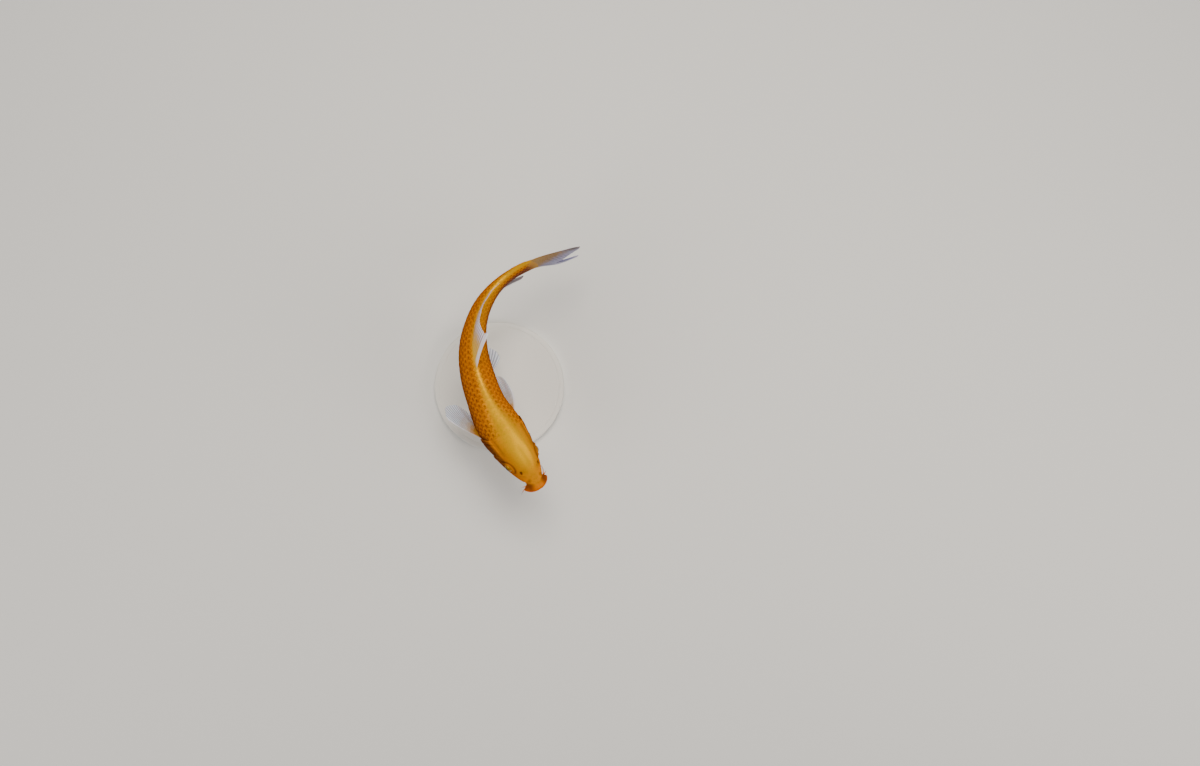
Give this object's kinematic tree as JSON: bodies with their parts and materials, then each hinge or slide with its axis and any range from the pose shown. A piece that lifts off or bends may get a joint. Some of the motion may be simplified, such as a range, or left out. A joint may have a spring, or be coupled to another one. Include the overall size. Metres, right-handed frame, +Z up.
{
  "type": "koi carp",
  "caption": "Still, life-size model of a young golden koi carp gliding round a bend, held over a round display base by rods.",
  "frame": {"origin": "centre of the display base's flat underside", "axes": "+Z up, out of the fish's back. +X and +Y are level: the head points toward +X and -Y, 56 degrees from +X, and the tail bends round toward +X"},
  "size_m": [0.148, 0.23, 0.1574],
  "materials": {
    "head_skin": "smooth scaleless metallic golden-yellow skin under a wet mucus film",
    "body_scales": "overlapping metallic amber-gold scales, each with a darker brown spot at its root, wet gloss",
    "lips": "smooth fleshy orange skin, wet gloss",
    "gill_cover": "smooth metallic golden skin over bone plates",
    "fin_membrane": "thin translucent bluish-white membrane between fine branching rays, yellow-orange at the root",
    "tail_membrane": "thin translucent membrane, orange at the root and along the rays, bluish toward the tips",
    "barbel": "soft whitish skin",
    "eye": "black pupil in a golden iris under a clear wet cornea",
    "stand_base": "turned wooden disc, satin off-white paint",
    "stand_rod": "brushed stainless steel rod"
  },
  "bodies": {
    "root": {"head": "head_skin", "upper_lip": "lips", "lower_lip": "lips", "gill_cover_left": "gill_cover", "gill_cover_right": "gill_cover", "eye_left": "eye", "eye_right": "eye", "barbel_snout_left": "barbel", "barbel_snout_right": "barbel", "barbel_corner_left": "barbel", "barbel_corner_right": "barbel", "trunk_front": "body_scales", "trunk_middle": "body_scales", "trunk_rear": "body_scales", "tail_stalk": "body_scales", "dorsal_fin": "fin_membrane", "anal_fin": "fin_membrane", "pectoral_fin_left": "fin_membrane", "pectoral_fin_right": "fin_membrane", "pelvic_fin_left": "fin_membrane", "pelvic_fin_right": "fin_membrane", "tail_fin_upper": "tail_membrane", "tail_fin_lower": "tail_membrane", "stand_base": "stand_base", "stand_rod_front": "stand_rod", "stand_rod_rear": "stand_rod"}
  },
  "joints": []
}
